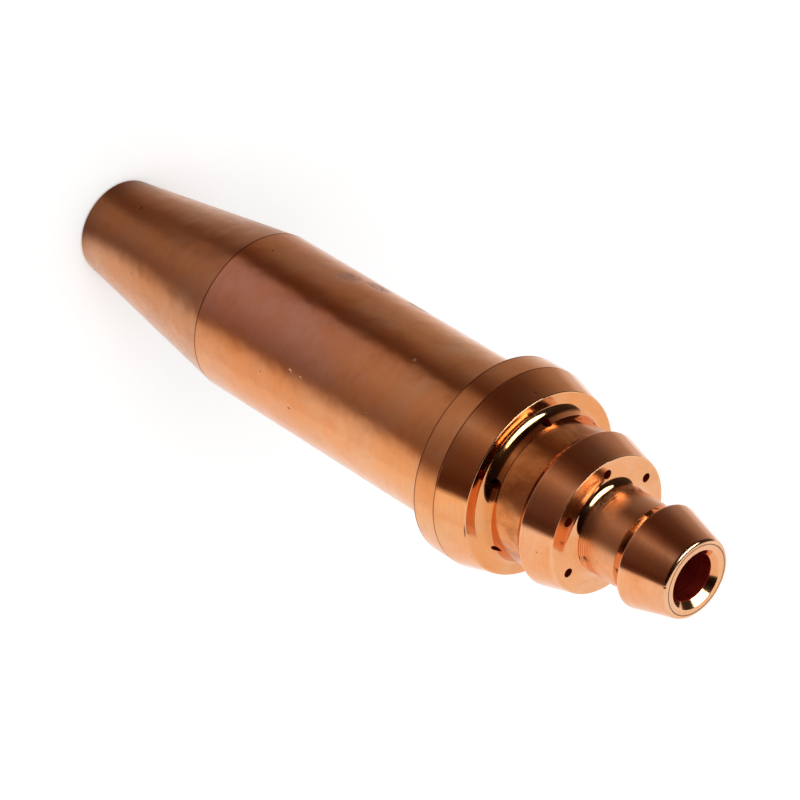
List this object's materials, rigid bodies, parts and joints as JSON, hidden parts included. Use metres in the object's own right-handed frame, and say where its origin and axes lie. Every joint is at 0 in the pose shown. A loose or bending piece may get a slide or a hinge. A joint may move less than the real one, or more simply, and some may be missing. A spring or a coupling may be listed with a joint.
{
  "type": "propane torch nozzle",
  "caption": "Turned copper cutting nozzle with a conical outlet tip, a nut flange, conical inlet seats, drilled gas channels and a brass splined core seated inside.",
  "frame": {"origin": "centre of the outlet end face, which the nozzle stands on", "axes": "+Z along the nozzle's axis from the outlet end to the inlet end, +X through one of the gas channels"},
  "size_m": [0.0193, 0.0192, 0.077],
  "materials": {
    "copper": "turned and polished",
    "core_brass": "turned"
  },
  "bodies": {
    "root": {"nozzle_body": "copper", "splined_core": "core_brass"}
  },
  "joints": []
}
